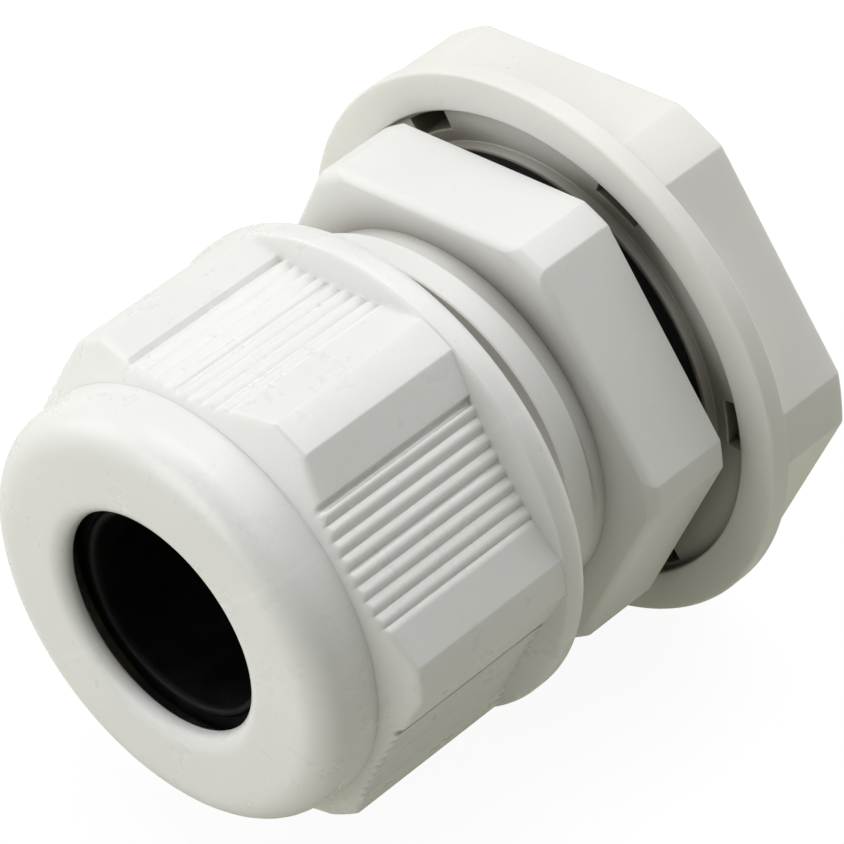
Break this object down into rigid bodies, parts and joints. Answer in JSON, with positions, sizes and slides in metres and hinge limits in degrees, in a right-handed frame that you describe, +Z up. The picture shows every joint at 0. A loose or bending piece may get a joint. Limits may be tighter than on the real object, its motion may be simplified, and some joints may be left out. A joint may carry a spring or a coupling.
{
  "type": "cable gland",
  "caption": "Plastic cable gland: round-fronted clamping nut with ribbed grips, hexagonal body, rubber seal, sealing ring and flanged hexagonal locknut.",
  "frame": {"origin": "centre of the gland body's sealing face, on the gland's axis", "axes": "+Y along the gland's axis towards the locknut and the inside of the box, -Y towards the dome nut and the cable, +Z up when the gland lies on its side"},
  "size_m": [0.0308, 0.0348, 0.0308],
  "materials": {
    "body_nylon": "light grey moulded polyamide, satin",
    "nut_nylon": "light grey moulded polyamide, satin to glossy on the dome",
    "locknut_nylon": "light grey moulded polyamide, slightly warmer",
    "seal_rubber": "black rubber, satin",
    "ring_rubber": "black rubber, matt"
  },
  "bodies": {
    "gland_body": {"gland_body": "body_nylon"},
    "seal_insert": {"seal_insert": "seal_rubber"},
    "dome_nut": {"dome_nut": "nut_nylon"},
    "sealing_ring": {"sealing_ring": "ring_rubber"},
    "locknut": {"locknut": "locknut_nylon"},
    "clamp_finger_1": {"clamp_finger_1": "body_nylon"},
    "clamp_finger_2": {"clamp_finger_2": "body_nylon"},
    "clamp_finger_3": {"clamp_finger_3": "body_nylon"},
    "clamp_finger_4": {"clamp_finger_4": "body_nylon"},
    "clamp_finger_5": {"clamp_finger_5": "body_nylon"},
    "clamp_finger_6": {"clamp_finger_6": "body_nylon"},
    "clamp_finger_7": {"clamp_finger_7": "body_nylon"},
    "clamp_finger_8": {"clamp_finger_8": "body_nylon"},
    "clamp_finger_9": {"clamp_finger_9": "body_nylon"},
    "clamp_finger_10": {"clamp_finger_10": "body_nylon"},
    "clamp_finger_11": {"clamp_finger_11": "body_nylon"},
    "clamp_finger_12": {"clamp_finger_12": "body_nylon"},
    "clamp_finger_13": {"clamp_finger_13": "body_nylon"},
    "clamp_finger_14": {"clamp_finger_14": "body_nylon"},
    "clamp_finger_15": {"clamp_finger_15": "body_nylon"},
    "clamp_finger_16": {"clamp_finger_16": "body_nylon"}
  },
  "joints": [
    {"name": "seal_feed", "type": "slide", "parent": "gland_body", "child": "seal_insert", "axis": [0, 1, 0], "range_m": [-0.00401, 0.00456]},
    {"name": "dome_nut_turn", "type": "hinge", "parent": "seal_insert", "child": "dome_nut", "pos_m": [0, -0.018, 0], "axis": [0, 1, 0], "range_deg": [-480, 546]},
    {"name": "ring_feed", "type": "slide", "parent": "gland_body", "child": "sealing_ring", "axis": [0, 1, 0], "range_m": [-0.00026, 0.00751]},
    {"name": "locknut_turn", "type": "hinge", "parent": "sealing_ring", "child": "locknut", "pos_m": [0, 0.004, 0], "axis": [0, 1, 0], "range_deg": [-60, 1800]},
    {"name": "finger_1_bend", "type": "hinge", "parent": "gland_body", "child": "clamp_finger_1", "pos_m": [0.00172, -0.0153, 0.00863], "axis": [0.9808, 0, -0.1951], "range_deg": [-2.82, 3.21]},
    {"name": "finger_2_bend", "type": "hinge", "parent": "gland_body", "child": "clamp_finger_2", "pos_m": [0.00489, -0.0153, 0.00732], "axis": [0.8315, 0, -0.5556], "range_deg": [-2.82, 3.21]},
    {"name": "finger_3_bend", "type": "hinge", "parent": "gland_body", "child": "clamp_finger_3", "pos_m": [0.00732, -0.0153, 0.00489], "axis": [0.5556, 0, -0.8315], "range_deg": [-2.82, 3.21]},
    {"name": "finger_4_bend", "type": "hinge", "parent": "gland_body", "child": "clamp_finger_4", "pos_m": [0.00863, -0.0153, 0.00172], "axis": [0.1951, 0, -0.9808], "range_deg": [-2.82, 3.21]},
    {"name": "finger_5_bend", "type": "hinge", "parent": "gland_body", "child": "clamp_finger_5", "pos_m": [0.00863, -0.0153, -0.00172], "axis": [-0.1951, 0, -0.9808], "range_deg": [-2.82, 3.21]},
    {"name": "finger_6_bend", "type": "hinge", "parent": "gland_body", "child": "clamp_finger_6", "pos_m": [0.00732, -0.0153, -0.00489], "axis": [-0.5556, 0, -0.8315], "range_deg": [-2.82, 3.21]},
    {"name": "finger_7_bend", "type": "hinge", "parent": "gland_body", "child": "clamp_finger_7", "pos_m": [0.00489, -0.0153, -0.00732], "axis": [-0.8315, 0, -0.5556], "range_deg": [-2.82, 3.21]},
    {"name": "finger_8_bend", "type": "hinge", "parent": "gland_body", "child": "clamp_finger_8", "pos_m": [0.00172, -0.0153, -0.00863], "axis": [-0.9808, 0, -0.1951], "range_deg": [-2.82, 3.21]},
    {"name": "finger_9_bend", "type": "hinge", "parent": "gland_body", "child": "clamp_finger_9", "pos_m": [-0.00172, -0.0153, -0.00863], "axis": [-0.9808, 0, 0.1951], "range_deg": [-2.82, 3.21]},
    {"name": "finger_10_bend", "type": "hinge", "parent": "gland_body", "child": "clamp_finger_10", "pos_m": [-0.00489, -0.0153, -0.00732], "axis": [-0.8315, 0, 0.5556], "range_deg": [-2.82, 3.21]},
    {"name": "finger_11_bend", "type": "hinge", "parent": "gland_body", "child": "clamp_finger_11", "pos_m": [-0.00732, -0.0153, -0.00489], "axis": [-0.5556, 0, 0.8315], "range_deg": [-2.82, 3.21]},
    {"name": "finger_12_bend", "type": "hinge", "parent": "gland_body", "child": "clamp_finger_12", "pos_m": [-0.00863, -0.0153, -0.00172], "axis": [-0.1951, 0, 0.9808], "range_deg": [-2.82, 3.21]},
    {"name": "finger_13_bend", "type": "hinge", "parent": "gland_body", "child": "clamp_finger_13", "pos_m": [-0.00863, -0.0153, 0.00172], "axis": [0.1951, 0, 0.9808], "range_deg": [-2.82, 3.21]},
    {"name": "finger_14_bend", "type": "hinge", "parent": "gland_body", "child": "clamp_finger_14", "pos_m": [-0.00732, -0.0153, 0.00489], "axis": [0.5556, 0, 0.8315], "range_deg": [-2.82, 3.21]},
    {"name": "finger_15_bend", "type": "hinge", "parent": "gland_body", "child": "clamp_finger_15", "pos_m": [-0.00489, -0.0153, 0.00732], "axis": [0.8315, 0, 0.5556], "range_deg": [-2.82, 3.21]},
    {"name": "finger_16_bend", "type": "hinge", "parent": "gland_body", "child": "clamp_finger_16", "pos_m": [-0.00172, -0.0153, 0.00863], "axis": [0.9808, 0, 0.1951], "range_deg": [-2.82, 3.21]}
  ],
  "couplings": [
    {"joint": "seal_feed", "follows": "dome_nut_turn", "m_per_rad": 0.00047746},
    {"joint": "ring_feed", "follows": "locknut_turn", "m_per_rad": 0.00023873},
    {"joint": "finger_1_bend", "follows": "dome_nut_turn", "ratio": 0.005848},
    {"joint": "finger_2_bend", "follows": "dome_nut_turn", "ratio": 0.005848},
    {"joint": "finger_3_bend", "follows": "dome_nut_turn", "ratio": 0.005848},
    {"joint": "finger_4_bend", "follows": "dome_nut_turn", "ratio": 0.005848},
    {"joint": "finger_5_bend", "follows": "dome_nut_turn", "ratio": 0.005848},
    {"joint": "finger_6_bend", "follows": "dome_nut_turn", "ratio": 0.005848},
    {"joint": "finger_7_bend", "follows": "dome_nut_turn", "ratio": 0.005848},
    {"joint": "finger_8_bend", "follows": "dome_nut_turn", "ratio": 0.005848},
    {"joint": "finger_9_bend", "follows": "dome_nut_turn", "ratio": 0.005848},
    {"joint": "finger_10_bend", "follows": "dome_nut_turn", "ratio": 0.005848},
    {"joint": "finger_11_bend", "follows": "dome_nut_turn", "ratio": 0.005848},
    {"joint": "finger_12_bend", "follows": "dome_nut_turn", "ratio": 0.005848},
    {"joint": "finger_13_bend", "follows": "dome_nut_turn", "ratio": 0.005848},
    {"joint": "finger_14_bend", "follows": "dome_nut_turn", "ratio": 0.005848},
    {"joint": "finger_15_bend", "follows": "dome_nut_turn", "ratio": 0.005848},
    {"joint": "finger_16_bend", "follows": "dome_nut_turn", "ratio": 0.005848}
  ]
}
